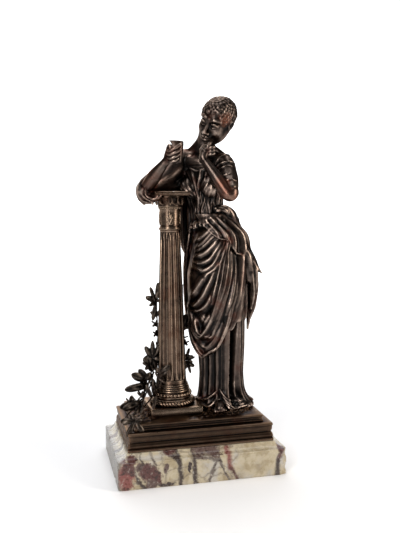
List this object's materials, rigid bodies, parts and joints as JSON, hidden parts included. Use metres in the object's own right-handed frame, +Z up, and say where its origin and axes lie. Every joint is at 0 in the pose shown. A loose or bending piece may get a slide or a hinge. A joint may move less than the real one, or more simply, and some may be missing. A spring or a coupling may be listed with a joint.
{
  "type": "bronze figure group on a marble base",
  "caption": "Cast bronze draped woman leaning on a fluted column and reading a letter, with a leafy branch, stepped bronze plinth and marble base.",
  "frame": {"origin": "centre of the marble base's underside", "axes": "+Z up, front towards -Y, the figure at +X and the column at -X"},
  "size_m": [0.2, 0.1506, 0.4485],
  "materials": {
    "veined_marble": "polished cream breccia marble with purple-red and grey veins, worn edges",
    "dark_bronze": "dark brown patinated cast bronze, rubbed lighter on the edges",
    "golden_brown_bronze": "golden brown patinated cast bronze",
    "figure_bronze": "dark brown patinated cast bronze with reddish brown rubbed highlights, waxed",
    "foliage_bronze": "dark brown patinated cast bronze"
  },
  "bodies": {
    "root": {"marble_base": "veined_marble", "bronze_plinth": "dark_bronze", "fluted_column": "golden_brown_bronze", "woman_with_letter": "figure_bronze", "laurel_branch": "foliage_bronze"}
  },
  "joints": []
}
